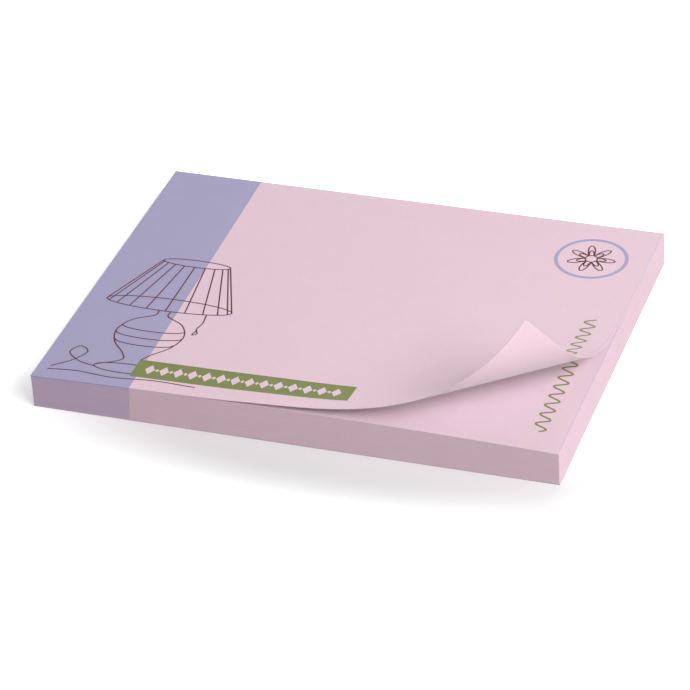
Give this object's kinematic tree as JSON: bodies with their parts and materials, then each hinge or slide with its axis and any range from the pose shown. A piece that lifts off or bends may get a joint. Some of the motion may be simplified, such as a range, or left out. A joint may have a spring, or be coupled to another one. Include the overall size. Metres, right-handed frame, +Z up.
{
  "type": "sticky note pad",
  "caption": "Landscape pad of sticky notes, glued along its back edge, with the near right corner of the top note rolled up.",
  "frame": {"origin": "centre of the pad's flat base", "axes": "+X along the long edge, to the right as seen from the free front edge; +Y towards the glued back edge; +Z up, out of the top note"},
  "size_m": [0.1, 0.075, 0.0268],
  "materials": {
    "note_paper": "matte",
    "removable_glue": "satin",
    "backing_paper": "matte"
  },
  "bodies": {
    "root": {"sheet_block": "note_paper", "top_sheet": "note_paper", "glue_strip": "removable_glue", "backing_sheet": "backing_paper"}
  },
  "joints": []
}
